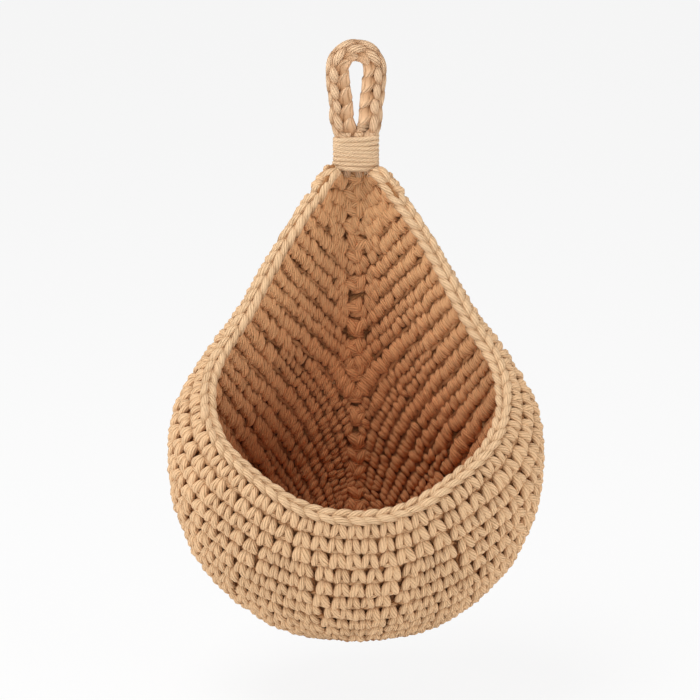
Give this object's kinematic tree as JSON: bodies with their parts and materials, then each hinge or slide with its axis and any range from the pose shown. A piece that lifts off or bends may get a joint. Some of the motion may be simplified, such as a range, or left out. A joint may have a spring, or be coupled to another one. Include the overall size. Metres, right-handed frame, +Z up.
{
  "type": "hanging fruit basket",
  "caption": "Crocheted teardrop pouch with an edged scoop mouth, hung by a strap loop that is bound to its apex; keeps fruit within reach on a wall.",
  "frame": {"origin": "hook seat: the inner top of the eye in the hanging loop", "axes": "+X to the right seen from the front, +Y to the wall behind, +Z up; the mouth faces -Y"},
  "size_m": [0.2232, 0.1557, 0.3529],
  "materials": {
    "pouch_cord": "matt twisted cotton cord",
    "edging_cord": "matt twisted cotton cord",
    "loop_cord": "matt twisted cotton cord",
    "binding_cord": "matt twisted cotton cord"
  },
  "bodies": {
    "basket": {"back_panel": "pouch_cord", "bowl": "pouch_cord", "rim_edging": "edging_cord"},
    "hanger": {"hanging_loop": "loop_cord", "loop_binding": "binding_cord"}
  },
  "joints": [
    {"name": "loop_tilt", "type": "hinge", "parent": "basket", "child": "hanger", "pos_m": [0, 0, -0.07085], "axis": [1, 0, 0], "range_deg": [-50, 50]}
  ]
}
